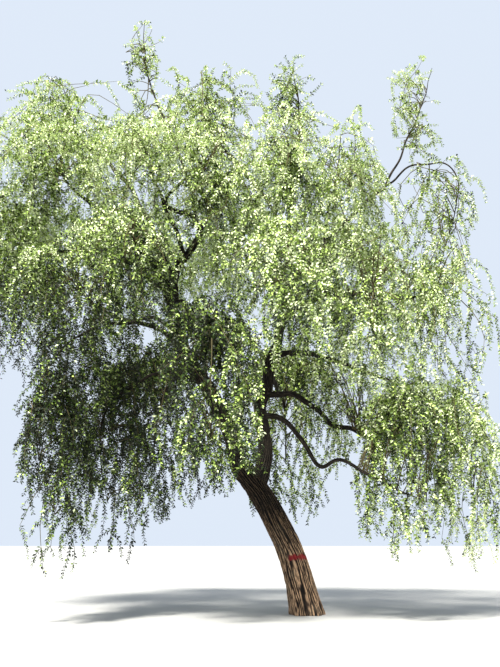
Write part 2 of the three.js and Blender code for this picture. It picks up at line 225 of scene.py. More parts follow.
# Bark: the width of a ridge and its furrow, how far ridges drift sideways in widths of their own, how
# steep their sides are, how fine the noise on them is round and along a limb, and their depth and that
# of the lumps under them as shares of the radius
RIDGE_WIDTH = 0.056
FEWEST_RIDGES = 5
RIDGE_DRIFTS = ((1.1, 0.25), (0.35, 0.8))
RIDGE_SIDES = (0.3, 0.85)
RIDGE_HEIGHT = 0.8
FINE_RATE = 1.7
FINE_ON_RIDGES = 0.5
FINE_ALL_OVER = 0.12
BARK_ROUND = 17
BARK_STRETCH = 6.5
FURROW_DEPTH = 0.11
LUMP_DEPTH = 0.05
LUMP_RATE = 0.35

# Mesh of the bark: its finest spacing along and round a limb and how that grows on limbs thinner than
# a radius, and how far one tube runs into the next
SPACING_ALONG = (0.02, 0.24)
SPACING_ROUND = (0.007, 0.13)
SPACING_RADIUS = 0.2
FEWEST_SIDES = 8
TUBE_OVERLAP = 0.01

# Bark colours in furrows, half way up, on ridges and in patches of lichen, and the grain over them. The
# furrow colours are partly the bark's own and partly painted shade
TRUNK_TONES = ((0.006, 0.004, 0.003), (0.05, 0.032, 0.022), (0.45, 0.30, 0.19), (0.17, 0.14, 0.10))
# Painted shade: the boughs are far darker than the trunk, as the crown shades them
SHADED_BOUGH_TONES = ((0.005, 0.004, 0.003), (0.014, 0.011, 0.008), (0.045, 0.036, 0.028), (0.03, 0.03, 0.024))
TWIG_COLOUR = (0.09, 0.075, 0.035)
RELIEF_PLACES = (0.1, 0.5, 0.95)
LICHEN_NOISE = {"Scale": 2.6, "Detail": 4}
LICHEN_STOPS = ((0.56, (0, 0, 0)), (0.72, (0.5, 0.5, 0.5)))
GRAIN_NOISE = {"Scale": 26, "Detail": 6, "Roughness": 0.7}
GRAIN_STOPS = ((0.3, (0.55, 0.53, 0.5)), (0.7, (1.3, 1.28, 1.22)))
GRAIN_BUMP = {"Strength": 0.6, "Distance": 0.006}
BARK_FINISH = {"Roughness": 0.92, "Specular IOR Level": 0.25}

# Painted shade: the trunk darkens between two heights, where the crown shades it
SHADE_UP_TRUNK = {"From Min": 1.1, "From Max": 1.95, "To Min": 1.0, "To Max": 0.12}

# A ragged band of old red paint round the trunk: how well it covers, its height, half its width, its
# edge, the middle of the trunk there, the direction in which paint is missing, and how it wears, which
# is less on ridges
PAINT_COLOUR = (0.21, 0.014, 0.018)
PAINT_COVER = 0.92
PAINT_HEIGHT = 1.06
PAINT_HALF = 0.055
PAINT_EDGE = (0.75, 1.1)
PAINT_RAGGED = 0.05
PAINT_RATES = (14, 14, 9)
PAINT_CENTRE = (-0.266, 0.0)
PAINT_GAP = (-0.906, -0.423)
PAINT_GAP_EDGE = (0.6, 0.78)
PAINT_WEAR = (-0.75, -0.2)
PAINT_WEAR_RATE = 11
PAINT_HOLD = 0.5
PAINT_HOLD_FROM = 0.4

# Limbs: each has a name, the limb that it leaves and the place on that limb, its radii at both ends,
# and the places that it goes through
LIMBS = [
    {"name": "trunk", "radii": (0.266, 0.198),
     "path": [(0.05, 0, -0.24), (0, 0, 0), (-0.266, 0, 1.06), (-0.577, 0, 1.73), (-0.92, 0, 2.32),
              (-1.29, 0, 2.81)]},
    {"name": "left_stem", "from": "trunk", "at": 1, "radii": (0.165, 0.096),
     "path": [(-1.466, -0.15, 3.41), (-1.816, -0.35, 4.09), (-2.4, -0.58, 5.08),
              (-2.634, -0.75, 6.26)]},
    {"name": "centre_stem", "from": "trunk", "at": 0.84, "radii": (0.14, 0.105),
     "path": [(-0.76, 0.2, 3.11), (-0.87, 0.3, 3.83), (-0.75, 0.3, 4.44), (-0.54, 0.3, 5.2)]},
    {"name": "hooked_stem", "from": "left_stem", "at": 1, "radii": (0.09, 0.042),
     "path": [(-2.49, -0.8, 6.64), (-2.276, -0.82, 6.86), (-2.084, -0.86, 7.16), (-2.041, -0.9, 7.37),
              (-2.238, -0.96, 7.62), (-2.528, -1.05, 7.7)]},
    {"name": "top_stem", "from": "centre_stem", "at": 1, "radii": (0.096, 0.026),
     "path": [(-0.3, 0.4, 6.47), (-0.22, 0.5, 8.05), (-0.06, 0.4, 9.39)]},
    {"name": "right_bough", "from": "centre_stem", "at": 0.95, "radii": (0.06, 0.027),
     "path": [(0.01, 0.3, 5.1), (0.56, 0.3, 4.93), (1.39, 0.3, 4.66), (1.81, 0.2, 4.48),
              (2.33, 0.1, 4.24)]},
    {"name": "stub_bough", "from": "centre_stem", "at": 0.66, "radii": (0.06, 0.038),
     "path": [(-0.15, -0.2, 4.13), (0.24, -0.4, 3.79), (0.5, -0.5, 3.52), (0.85, -0.8, 3.41),
              (1.35, -1, 3.11)]},
    {"name": "dipping_bough", "from": "centre_stem", "at": 0.5, "radii": (0.055, 0.025),
     "path": [(-0.48, 0, 3.78), (-0.17, -0.4, 3.38), (0.25, -1, 2.72), (0.56, -1.3, 2.79),
              (1.1, -1.8, 2.43)]},
    {"name": "rising_bough", "from": "top_stem", "at": 0.25, "radii": (0.058, 0.032),
     "path": [(0.2, 0.6, 7.14), (0.98, 0.7, 8.08), (1.6, 0.8, 8.69), (1.91, 0.8, 8.95)]},
    {"name": "leader_shoot", "from": "rising_bough", "at": 1, "radii": (0.029, 0.018),
     "path": [(2.2, 0.8, 9.5), (2.45, 0.8, 10.05)]},
    {"name": "arched_shoot", "from": "rising_bough", "at": 0.92, "radii": (0.026, 0.018),
     "path": [(2.15, 0.7, 9.14), (2.42, 0.6, 9.33), (2.84, 0.5, 9.36)]},
    {"name": "left_level_bough", "from": "left_stem", "at": 0.74, "radii": (0.042, 0.022),
     "path": [(-2.9, -1.2, 5.45), (-3.32, -1.6, 5.27), (-3.79, -1.9, 5.15), (-4.12, -2.05, 4.9)]},
    {"name": "left_low_bough", "from": "left_stem", "at": 0.44, "radii": (0.042, 0.022),
     "path": [(-2.53, -0.6, 4.54), (-3, -0.7, 4.44), (-3.42, -0.75, 4.15)]},
]

# Masses of foliage: each has a name, the limb that carries it and the place on that limb, its centre
# and reach, how far up or down its stem ends as a share of the reach, how full it is, and how much
# its shoots hang
MASS_FIELDS = ("name", "from", "at", "centre", "reach", "stem_end", "fullness", "hang")
MASS_ROWS = [
    ("left_curtain", "left_level_bough", 1, (-4.39, -2.1, 2.85), (0.69, 1.05, 2.1), -0.5, 2.0, 1.0),
    ("inner_left_curtain", "left_low_bough", 1, (-3.72, -0.66, 3.09), (0.94, 1.2, 2.11),
     -0.5, 1.5, 1.0),
    ("front_centre", "left_stem", 0.9, (-1.73, -2.5, 4.04), (1.06, 1.35, 2.08), -0.5, 1.2, 1.0),
    ("right_curtain", "dipping_bough", 1, (1.65, -1.55, 2.99), (0.97, 1.25, 1.93), -0.5, 1.5, 1.0),
    ("right_low_curtain", "right_bough", 1, (2.85, -0.45, 2.88), (0.99, 1.4, 2.09), -0.5, 1.15, 1.0),
    ("left_middle", "left_stem", 0.62, (-4.3, -1.7, 5.34), (1.28, 1.5, 1.59), 0.4, 1.35, 0.85),
    ("left_end", "left_stem", 0.95, (-6, 0.4, 7.02), (1.26, 2, 2.46), 0.3, 1.0, 0.7),
    ("front_left", "left_stem", 0.8, (-3.14, -2.9, 5.96), (1.2, 1.5, 1.54), 0.4, 0.72, 0.6),
    ("front_right", "top_stem", 0.12, (-0.45, -2.65, 5.54), (1.28, 1.6, 1.69), 0.3, 1.0, 0.6),
    ("right_middle", "top_stem", 0.22, (1.27, -1.75, 5.37), (1.21, 1.6, 1.73), 0.3, 0.95, 0.8),
    ("right_end", "top_stem", 0.17, (2.76, -0.15, 5.7), (1.07, 1.8, 2.15), 0.3, 0.45, 0.9),
    ("upper_left", "left_stem", 0.97, (-5.09, -0.8, 8.33), (1.56, 1.8, 1.63), 0.4, 1.0, 0.5),
    ("upper_front_left", "hooked_stem", 0.3, (-3.09, -2, 8.03), (1.23, 1.65, 1.44), 0.4, 0.8, 0.45),
    ("upper_front", "hooked_stem", 1, (-1.74, -2, 7.6), (1.23, 1.65, 1.7), 0.4, 0.75, 0.45),
    ("upper_front_right", "top_stem", 0.4, (-0.29, -1.6, 8.04), (1.22, 1.65, 1.59), 0.4, 0.95, 0.45),
    ("upper_right", "rising_bough", 0.45, (0.75, -0.7, 7.97), (1.18, 1.7, 1.83), 0.4, 0.75, 0.6),
    ("top_left", "hooked_stem", 0.08, (-5.17, 1.2, 10.39), (1.91, 2, 1.16), 0.5, 0.47, 0.3),
    ("top_shoot", "hooked_stem", 0.62, (-3.31, -0.6, 10.72), (0.44, 0.5, 1.65), 0.85, 0.1, 0.1),
    ("top_centre", "top_stem", 0.52, (-2.14, 0.4, 10.11), (1.79, 2.1, 1.32), 0.5, 0.47, 0.3),
    ("top_tower", "top_stem", 1, (-0.13, 0.1, 10.25), (0.69, 0.95, 1.54), 0.75, 0.2, 0.2),
    ("right_leader", "leader_shoot", 1, (2.64, 0.8, 10.69), (0.69, 0.8, 1.39), 0.8, 0.09, 0.1),
    ("right_shoulder", "arched_shoot", 1, (2.93, 0.5, 7.73), (0.98, 1.5, 1.75), -0.4, 0.32, 1.0),
    ("right_inner", "stub_bough", 1, (0.85, -0.9, 3.89), (0.94, 1.1, 1.25), -0.4, 0.5, 1.0),
    ("back_left", "left_stem", 0.87, (-4, 2.6, 7.5), (1.95, 1.9, 2.1), 0.4, 0.8, 0.6),
    ("back_centre", "top_stem", 0.28, (-1.5, 3.1, 7.9), (1.8, 1.75, 2.1), 0.4, 0.8, 0.6),
    ("back_right", "top_stem", 0.34, (1.15, 2.6, 7.2), (1.9, 1.85, 2.2), 0.4, 0.8, 0.7),
    ("back_low_left", "left_stem", 0.5, (-3.3, 2.6, 3.95), (1.6, 1.5, 2.35), -0.4, 0.85, 1.0),
    ("back_low_right", "centre_stem", 0.72, (-0.25, 3.1, 4.05), (1.6, 1.5, 2.3), -0.4, 0.85, 1.0),
]

# The lean to the right of a mass's stem as a share of the reach, and the radius of its bough's tip,
# where they aren't the usual ones
LEANS = {"right_curtain": 0.4, "right_low_curtain": 0.3, "right_leader": 0.6}
TIPS = {"top_shoot": 0.017}

# Which masses are joined into each piece of foliage
FOLIAGE = {
    "low_left": ("left_curtain", "inner_left_curtain", "left_middle", "left_end"),
    "low_right": ("right_curtain", "right_low_curtain", "right_inner", "right_middle", "right_end",
                  "right_shoulder"),
    "front": ("front_centre", "front_left", "front_right"),
    "upper": ("upper_left", "upper_front_left", "upper_front", "upper_front_right", "upper_right"),
    "top": ("top_left", "top_shoot", "top_centre", "top_tower", "right_leader"),
    "back_left": ("back_left", "back_low_left"),
    "back_right": ("back_centre", "back_right", "back_low_right"),
}

MASK = 0xFFFFFFFF
GOLDEN_ANGLE = math.pi * (3 - math.sqrt(5))
NOISE_OFFSETS = ((0, 0, 0), (31.4, 7.9, 3.3), (5.2, 47.1, 19.6))

# Ways that aren't along a shoot, from which directions across it are found
NEAR_UP = UP + 1e-3
LEAF_ASIDE = np.array([0.31, 0.95, 0.05])
TUBE_ASIDE = np.array([0.12, 0.34, 0.93])


def unit(vectors):
    return vectors / np.linalg.norm(vectors, axis=-1, keepdims=True)


def smoothstep(low, high, value):
    share = min(max((value - low) / (high - low), 0.0), 1.0)
    return share * share * (3 - 2 * share)


def noise_shift(place):
    """Smooth noise in three directions."""
    return np.array([noise.noise(place + Vector(offset)) for offset in NOISE_OFFSETS])


def random_from(seed):
    """Seeded random numbers between 0 and 1."""
    state = seed & MASK

    def draw():
        nonlocal state
        state = (state + 0x6D2B79F5) & MASK
        mixed = ((state ^ (state >> 15)) * (1 | state)) & MASK
        mixed = ((mixed + (mixed ^ (mixed >> 7)) * (61 | mixed)) & MASK) ^ mixed
        return (mixed ^ (mixed >> 14)) / (MASK + 1)

    return draw


# Curves

def through(points, steps):
    """A centripetal curve through points, sampled finely."""
    points = [np.array(point, float) for point in points]
    padded = [2 * points[0] - points[1], *points, 2 * points[-1] - points[-2]]
    share = np.linspace(0, 1, steps, endpoint=False)[:, None]
    pieces = []
    for before, start, end, after in zip(padded, padded[1:], padded[2:], padded[3:]):
        first, middle, last = (
            math.sqrt(np.linalg.norm(b - a)) for a, b in ((before, start), (start, end), (end, after))
        )
        step = (end - start) / middle
        leave = middle * ((start - before) / first - (end - before) / (first + middle) + step)
        arrive = middle * (step - (after - start) / (middle + last) + (after - end) / last)
        square = 3 * (end - start) - 2 * leave - arrive
        cube = 2 * (start - end) + leave + arrive
        pieces.append(start + share * (leave + share * (square + share * cube)))
    return np.concatenate([*pieces, points[-1][None]])


def marks_of(points):
    """How far along a curve each of its points lies."""
    return np.concatenate([[0.0], np.cumsum(np.linalg.norm(np.diff(points, axis=0), axis=1))])


def read_at(places, marks, values):
    """Points or directions that are known at marks, read at places between them."""
    return np.stack([np.interp(places, marks, column) for column in values.T], -1)


class Line:
    """A finely sampled curve, read by the share of its length."""

    def __init__(self, points):
        self.points = points
        self.marks = marks_of(points)
        self.length = self.marks[-1]

    def at(self, share):
        return read_at(np.asarray(share) * self.length, self.marks, self.points)

    def way(self, share):
        before, after = np.maximum(share - WAY_STEP, 0), np.minimum(share + WAY_STEP, 1)
        return unit(self.at(after) - self.at(before))


# Limbs and masses, planned by the same rule as their solids

def plan_limb(row, limbs):
    path = list(row["path"])
    if "from" in row:
        path.insert(0, limbs[row["from"]]["line"].at(row["at"]))
    return {**row, "line": Line(through(path, LIMB_STEPS))}


def radius_at(limb, share):
    """The radius of a limb, with the collar where it leaves the side of its parent."""
    thick, thin = limb["radii"]
    collar = COLLAR if limb.get("at", 1) < 1 else 0
    swell = 1 + collar * np.exp(-share * limb["line"].length / (COLLAR_LENGTH * thick))
    return (thick + (thin - thick) * share) * swell


def reach_along(mass, way):
    return np.linalg.norm(mass["reach"] * way)


def add_walls(mass, masses):
    """The walls between a mass and each of its neighbours, shared out by their reach."""
    ways, offsets = [], []
    for other in masses:
        if other is mass:
            continue
        away = other["centre"] - mass["centre"]
        way = unit(away)
        own = reach_along(mass, way)
        ways.append(way)
        offsets.append(np.linalg.norm(away) * own / (own + reach_along(other, way)) - WALL_CLEAR)
    mass["wall_ways"] = np.array(ways)
    mass["wall_offsets"] = np.array(offsets)


def inside_walls(mass, points):
    return np.all((points - mass["centre"]) @ mass["wall_ways"].T <= mass["wall_offsets"], axis=-1)


def squared_off(ways):
    """Length of directions under the norm that gives a mass its rounded-box shape."""
    return np.sum(np.abs(ways) ** SQUARENESS, axis=-1) ** (1 / SQUARENESS)


def depth_in(mass, points):
    """0 at the centre of a mass and 1 at its border."""
    return squared_off((points - mass["centre"]) / mass["reach"])


def pulled_in(mass, point):
    """The point, drawn towards the centre of its mass until it is inside the walls."""
    while not inside_walls(mass, point):
        point = point + PULL_STEP * (mass["centre"] - point)
    return point


def bough_row(mass, limbs):
    """The bough of a mass arches from its limb to the place where it enters the mass."""
    parent = limbs[mass["from"]]
    start = parent["line"].at(mass["at"])
    back = start - mass["centre"]
    entry = mass["centre"] + back * BOUGH_ENTRY / np.linalg.norm(back / mass["reach"])
    tip = pulled_in(mass, entry + UP * BOUGH_RISE * mass["reach"][2])
    middle = (start + tip) / 2 + UP * BOUGH_ARCH * np.linalg.norm(tip - start)
    thick = min(BOUGH_THICKEST, BOUGH_SHARE * radius_at(parent, mass["at"]))
    return {"name": mass["name"] + "_bough", "from": mass["from"], "at": mass["at"],
            "radii": (thick, TIPS.get(mass["name"], BOUGH_TIP)), "path": [middle, tip]}


def stem_of(mass, carrier):
    """The stem of a mass goes on from its bough's tip and bends towards the far end of the mass."""
    start = carrier["line"].at(1)
    crest = mass["centre"] + mass["reach"] * (LEANS.get(mass["name"], 0), 0, mass["stem_end"])
    bend = start + carrier["line"].way(1) * STEM_BEND * np.linalg.norm(crest - start)
    share = np.linspace(0, 1, STEM_STEPS)[:, None]
    line = Line((1 - share) ** 2 * start + 2 * share * (1 - share) * bend + share**2 * crest)
    tip = carrier["radii"][1]
    return {"name": mass["stem"], "from": carrier["name"], "at": 1, "line": line,
            "radii": (tip, STEM_TAPER * tip)}


def plan_tree():
    """All limbs by name, each with its line and radii, and all masses."""
    masses = [dict(zip(MASS_FIELDS, row)) for row in MASS_ROWS]
    for index, mass in enumerate(masses):
        mass["seed"] = FIRST_SEED + SEED_STEP * index
        mass["centre"], mass["reach"] = np.array(mass["centre"]), np.array(mass["reach"])
    for mass in masses:
        add_walls(mass, masses)
    limbs = {}
    for row in LIMBS:
        limbs[row["name"]] = plan_limb(row, limbs)
    for mass in masses:
        if mass["at"] < 1:
            row = bough_row(mass, limbs)
            limbs[row["name"]] = plan_limb(row, limbs)
    for mass in masses:
        mass["bough"] = mass["name"] + "_bough" if mass["at"] < 1 else mass["from"]
        mass["stem"] = mass["name"] + "_stem"
        limbs[mass["stem"]] = stem_of(mass, limbs[mass["bough"]])
    return limbs, masses


# Spines of limbs that go on from one another

def chains_of(limbs):
    """Limbs that go on from one another, end to end, each chain from the side of its parent."""
    onward = {limb["from"]: limb for limb in limbs.values() if limb.get("at") == 1}
    chains = [[limb] for limb in limbs.values() if limb.get("at") != 1]
    for chain in chains:
        while chain[-1]["name"] in onward:
            chain.append(onward[chain[-1]["name"]])
    return chains


def smoothed(values, width):
    """A running mean that keeps both ends."""
    width = min(width, (len(values) - 1) // 2)
    if width < 1:
        return values
    before = 2 * values[:1] - values[width:0:-1]
    after = 2 * values[-1:] - values[-2:-width - 2:-1]
    kernel = np.ones(2 * width + 1) / (2 * width + 1)
    padded = np.concatenate([before, values, after])
    return np.stack([np.convolve(column, kernel, "valid") for column in padded.T], -1)


def crooked(points, chain):
    """Points of a chain shifted by slow noise. The trunk and the ends of the chain stay in place."""
    marks = marks_of(points)
    straight = chain[0]["line"].length if chain[0]["name"] == "trunk" else 0.0
    spread = CROOK_SPREAD[0] * points[0][0], CROOK_SPREAD[1] * points[0][2]
    shifted = points.copy()
    for index, mark in enumerate(marks):
        fade = smoothstep(0, CROOK_FADE, mark - straight) * smoothstep(0, CROOK_FADE, marks[-1] - mark)
        shifted[index] += CROOK * fade * noise_shift(Vector((mark * CROOK_RATE, *spread)))
    return shifted


def centre_line(chain):
    """Evenly spaced points and radii along a chain, and how far along it each of its limbs ends."""
    points, radii, limits = [], [], [0.0]
    for limb in chain:
        count = max(int(limb["line"].length / SPINE_STEP), FEWEST_STEPS)
        share = np.arange(count) / count
        points.append(limb["line"].at(share))
        radii.append(radius_at(limb, share))
        limits.append(limits[-1] + limb["line"].length)
    points.append(chain[-1]["line"].at(1)[None])
    radii.append(radius_at(chain[-1], np.array([1.0])))
    return np.concatenate(points), np.concatenate(radii), np.array(limits)


def sides_along(ways):
    """A direction across a curve at each of its places, turned as little as possible on the way."""
    side = np.array([1.0, 0.0, 0.0]) if abs(ways[0][1]) > 0.9 else np.array([0.0, 1.0, 0.0])
    sides = []
    for way in ways:
        side = unit(side - way * (side @ way))
        sides.append(side)
    return np.array(sides)


def spine_of(chain):
    """Places along a chain: their distance, point, radius and two directions across, and its bark."""
    points, radii, limits = centre_line(chain)
    both = smoothed(np.column_stack([points, radii]), int(SMOOTH_LENGTH / SPINE_STEP / 2))
    points, radii = crooked(both[:, :3], chain), both[:, 3]
    marks = marks_of(points)
    ways = unit(np.gradient(points, axis=0))
    sides = sides_along(ways)
    bark_rate = BARK_ROUND / (np.sqrt(radii) * BARK_STRETCH)
    return {"marks": marks, "points": points, "radii": radii, "sides": sides,
            "across": np.cross(ways, sides), "limits": limits * marks[-1] / limits[-1],
            "bark_marks": np.concatenate([[0.0], np.cumsum(bark_rate[1:] * np.diff(marks))]),
            "ridges": max(round(2 * math.pi * radii[0] / RIDGE_WIDTH), FEWEST_RIDGES),
            "rooted": "from" not in chain[0]}


def stretches_of(limbs):
    """For each limb, the spine of its chain, where the limb starts and ends on it, and a seed."""
    stretches = {}
    for index, chain in enumerate(chains_of(limbs)):
        spine = spine_of(chain)
        for limb, start, end in zip(chain, spine["limits"], spine["limits"][1:]):
            stretches[limb["name"]] = (spine, start, end, CHAIN_SEED * index)
    return stretches


def places_on(stretch, shares):
    spine, start, end, _ = stretch
    return read_at(start + shares * (end - start), spine["marks"], spine["points"])


# Meshes

def tube_faces(rings, sides):
    """Quads of a tube whose points lie ring by ring."""
    ring, side = np.meshgrid(np.arange(rings - 1), np.arange(sides), indexing="ij")
    low = ring * sides + side
    next_low = ring * sides + (side + 1) % sides
    return np.stack([low, next_low, next_low + sides, low + sides], -1).reshape(-1, 4)


def joined(parts):
    """Points and faces of several meshes as one."""
    bases = np.cumsum([0] + [len(points) for points, _ in parts[:-1]])
    return (np.concatenate([points for points, _ in parts]),
            np.concatenate([faces + base for (_, faces), base in zip(parts, bases)]))


def add_values(mesh, name, values):
    mesh.attributes.new(name, "FLOAT", "POINT").data.foreach_set("value", values.astype(np.float32))


def mesh_piece(name, points, faces, materials, face_materials=None):
    """A smooth-shaded object from a list of points and a list of equal-sided faces."""
    mesh = bpy.data.meshes.new(name)
    corners = faces.shape[1]
    mesh.vertices.add(len(points))
    mesh.vertices.foreach_set("co", points.astype(np.float32).ravel())
    mesh.loops.add(faces.size)
    mesh.loops.foreach_set("vertex_index", faces.astype(np.int32).ravel())
    mesh.polygons.add(len(faces))
    mesh.polygons.foreach_set("loop_start", np.arange(0, faces.size, corners, dtype=np.int32))
    for material in materials:
        mesh.materials.append(material)
    if face_materials is not None:
        mesh.polygons.foreach_set("material_index", face_materials.astype(np.int32))
    mesh.update(calc_edges=True)
    mesh.shade_smooth()
    piece = bpy.data.objects.new(name, mesh)
    bpy.context.scene.collection.objects.link(piece)
    return piece


# Bark

def furrow_relief(phase, place):
    """Height of the bark from 0 in a furrow to 1 on a ridge. Noise lets the ridges drift, join and
    part."""
    for size, rate in RIDGE_DRIFTS:
        phase += size * noise.noise(place * rate)
    main = smoothstep(*RIDGE_SIDES, abs(math.sin(math.pi * phase)))
    fine = noise.noise(place * FINE_RATE)
    return min(max(main * (RIDGE_HEIGHT + FINE_ON_RIDGES * fine) + FINE_ALL_OVER * fine, 0), 1)


def spacing(sizes, radius):
    """Mesh spacing at a radius: the finest on thick limbs, wider on thin ones."""
    finest, growth = sizes
    return finest + growth * max(SPACING_RADIUS - radius, 0)


def ring_marks(spine, start, end):
    """Where the rings of a tube lie along a spine."""
    rings = [start]
    while rings[-1] < end:
        radius = np.interp(rings[-1], spine["marks"], spine["radii"])
        rings.append(rings[-1] + spacing(SPACING_ALONG, radius))
    rings[-1] = end
    return np.array(rings)


def flare_at(spine, height, turn):
    """How far the foot of the trunk spreads at a height, the most along its root lobes."""
    if not spine["rooted"]:
        return 0.0
    lobe = ROOT_LOBE_DEPTH * math.cos(ROOT_LOBES * turn)
    return math.exp(-max(height, 0) / FLARE_HEIGHT) * (FLARE + lobe)


def bark_tube(spine, start, end, seed):
    """Points and relief of the furrowed tube along one stretch of a spine, ring by ring."""
    marks = spine["marks"]
    thickest = np.interp(start, marks, spine["radii"])
    sides = max(int(2 * math.pi * thickest / spacing(SPACING_ROUND, thickest)), FEWEST_SIDES)
    turns = 2 * math.pi * np.arange(sides) / sides
    rings = ring_marks(spine, start, end)
    centres = read_at(rings, marks, spine["points"])
    side, across = (unit(read_at(rings, marks, spine[name])) for name in ("sides", "across"))
    radii = np.interp(rings, marks, spine["radii"])
    along = np.interp(rings, marks, spine["bark_marks"]) + seed
    points = np.empty((len(rings), sides, 3))
    relief = np.empty((len(rings), sides))
    for ring, radius in enumerate(radii):
        reach = BARK_ROUND * math.sqrt(radius)
        for index, turn in enumerate(turns):
            place = Vector((reach * math.cos(turn), reach * math.sin(turn), along[ring]))
            height = furrow_relief(spine["ridges"] * turn / (2 * math.pi), place)
            lump = noise.noise(place * LUMP_RATE)
            out = radius * (1 + LUMP_DEPTH * lump + FURROW_DEPTH * (height - 0.5))
            out += flare_at(spine, centres[ring][2], turn)
            way = math.cos(turn) * side[ring] + math.sin(turn) * across[ring]
            points[ring, index] = centres[ring] + out * way
            relief[ring, index] = height
    return points, relief


def cut_at_ground(piece):
    """Trims a piece flat at the ground and closes the cut and its free ends."""
    mesh = bmesh.new()
    mesh.from_mesh(piece.data)
    everything = [*mesh.verts, *mesh.edges, *mesh.faces]
    bmesh.ops.bisect_plane(mesh, geom=everything, plane_co=(0, 0, 0), plane_no=UP, clear_inner=True)
    bmesh.ops.holes_fill(mesh, edges=[edge for edge in mesh.edges if edge.is_boundary], sides=0)
    mesh.to_mesh(piece.data)
    mesh.free()


def bark_piece(name, stretches, material):
    """One mesh of furrowed tubes, each a stretch of a chain of limbs."""
    parts, all_relief = [], []
    for spine, start, end, seed in stretches:
        end = min(end + TUBE_OVERLAP, spine["marks"][-1])
        points, relief = bark_tube(spine, start, end, seed)
        parts.append((points.reshape(-1, 3), tube_faces(*relief.shape)))
        all_relief.append(relief.ravel())
    piece = mesh_piece(name, *joined(parts), [material])
    add_values(piece.data, "relief", np.concatenate(all_relief))
    cut_at_ground(piece)
    piece.data.shade_smooth()
    return piece


def add_paint(trunk):
    """A band of paint round the trunk, solid in the middle, ragged at its edges."""
    points = np.empty(3 * len(trunk.data.vertices), np.float32)
    trunk.data.vertices.foreach_get("co", points)
    relief = np.empty(len(trunk.data.vertices), np.float32)
    trunk.data.attributes["relief"].data.foreach_get("value", relief)
    paint = []
    for point, height in zip(points.reshape(-1, 3), relief):
        ragged = PAINT_RAGGED * noise.noise(Vector(point * PAINT_RATES))
        off = abs(point[2] - PAINT_HEIGHT + ragged) / PAINT_HALF
        away = unit(point[:2] - PAINT_CENTRE) @ PAINT_GAP
        band = (1 - smoothstep(*PAINT_EDGE, off)) * (1 - smoothstep(*PAINT_GAP_EDGE, away))
        wear = noise.noise(Vector(point) * PAINT_WEAR_RATE) + PAINT_HOLD * (height - PAINT_HOLD_FROM)
        paint.append(PAINT_COVER * smoothstep(*PAINT_WEAR, wear) * band)
    add_values(trunk.data, "paint", np.array(paint))


# Branches of a mass

def even_direction(index, count, turn):
    """Directions spread evenly over a sphere."""
    height = 1 - 2 * (index + 0.5) / count
    angle = index * GOLDEN_ANGLE + turn
    across = math.sqrt(1 - height * height)
    return np.array([across * math.cos(angle), across * math.sin(angle), height])


def plan_branch(mass, heading, places, draw):
    """Where a branch starts, turns down and ends. Its tip lies near the border of the mass."""
    nearest, furthest = TIP_REACHES
    reach = nearest + (furthest - nearest) * draw() ** 0.5
    tip = pulled_in(mass, heading * mass["reach"] * reach / squared_off(heading) + mass["centre"])
    sway = np.array([draw() - 0.5, draw() - 0.5, draw() - 0.5])
    droop = END_DROOP * mass["hang"] * (1 - max(heading[2], 0))
    way = unit(heading + END_SWAY * sway + DOWN * droop)
    length = END_LENGTH * mass["reach"].mean() * (END_LEAST + END_SPREAD * draw())
    foot = tip - way * length
    wanted = foot + DOWN * START_DROP * length
    start = min(places, key=lambda place: np.linalg.norm(place - wanted))
    return start, foot, tip


def wavy(points):
    """Points shifted by slow noise, more and more from the first."""
    shift = np.array([noise_shift(Vector(point * BRANCH_CROOK_RATE)) for point in points])
    return points + BRANCH_CROOK * np.linspace(0, 1, len(points))[:, None] * shift


def branches_of(mass, stretches):
    """The branches of a mass, each a line from its place on the bough or the stem."""
    first = FIRST_ON_BOUGH if mass["at"] < 1 else FIRST_ON_LIMB
    places = [*places_on(stretches[mass["bough"]], np.linspace(first, LAST_ON_BOUGH, BOUGH_PLACES)),
              *places_on(stretches[mass["stem"]], np.linspace(FIRST_BRANCH, 1, STEM_PLACES))]
    lines = []
    for index in range(BRANCHES):
        draw = random_from(mass["seed"] + index)
        heading = even_direction(index, BRANCHES, mass["seed"])
        for _ in range(BRANCH_TRIES):
            start, foot, tip = plan_branch(mass, heading, places, draw)
            if depth_in(mass, foot) < FOOT_DEPTH and inside_walls(mass, foot):
                break
        else:
            continue
        places = [place for place in places if place is not start]
        shoulder = (start + foot) / 2 + UP * BRANCH_ARCH * np.linalg.norm(foot - start)
        lines.append(Line(wavy(through([start, shoulder, foot, tip], BRANCH_STEPS))))
    return lines


# Shoots of a mass

def shoot_starts(mass, branches, rng):
    """Where each shoot starts, the way it sets out, its share of its branch, and that branch."""
    total = SHOOTS_PER_SIZE * float(np.prod(mass["reach"])) ** SHOOT_SIZE_POWER * mass["fullness"]
    per_branch = total / len(branches)
    rows = []
    for owner, branch in enumerate(branches):
        count = max(int(per_branch * rng.uniform(*SHOOT_COUNT_SWING) + 0.5), FEWEST_SHOOTS)
        even = (np.arange(count) + rng.uniform(0, SHOOT_JITTER, count)) / count
        crowded = even ** (SHOOT_SPREAD - SHOOT_CROWDING * mass["hang"])
        shares = FIRST_SHOOT + (1 - FIRST_SHOOT) * crowded
        way = branch.way(shares)
        side = unit(np.cross(way, NEAR_UP))
        over = np.cross(side, way)
        angle = (GOLDEN_ANGLE * np.arange(count) + rng.uniform(0, 2 * math.pi))[:, None]
        outward = np.cos(angle) * side + np.sin(angle) * over
        ways = unit(SHOOT_ALONG * way + SHOOT_OUTWARD * outward + SHOOT_LIFT * UP)
        rows.append((branch.at(shares), ways, shares, np.full(count, owner)))
    return [np.concatenate(values) for values in zip(*rows)]


def grow_shoots(starts, ways, fall, length, droop):
    """Each shoot sets out its own way and bends over to hang."""
    step = (length / (SHOOT_STATIONS - 1))[:, None]
    points = [starts]
    for station in range(1, SHOOT_STATIONS):
        weight = 1 - np.exp(-droop * (station - 0.5) / (SHOOT_STATIONS - 1))[:, None]
        points.append(points[-1] + step * unit(ways * (1 - weight) + fall * weight))
    return np.stack(points, axis=1)


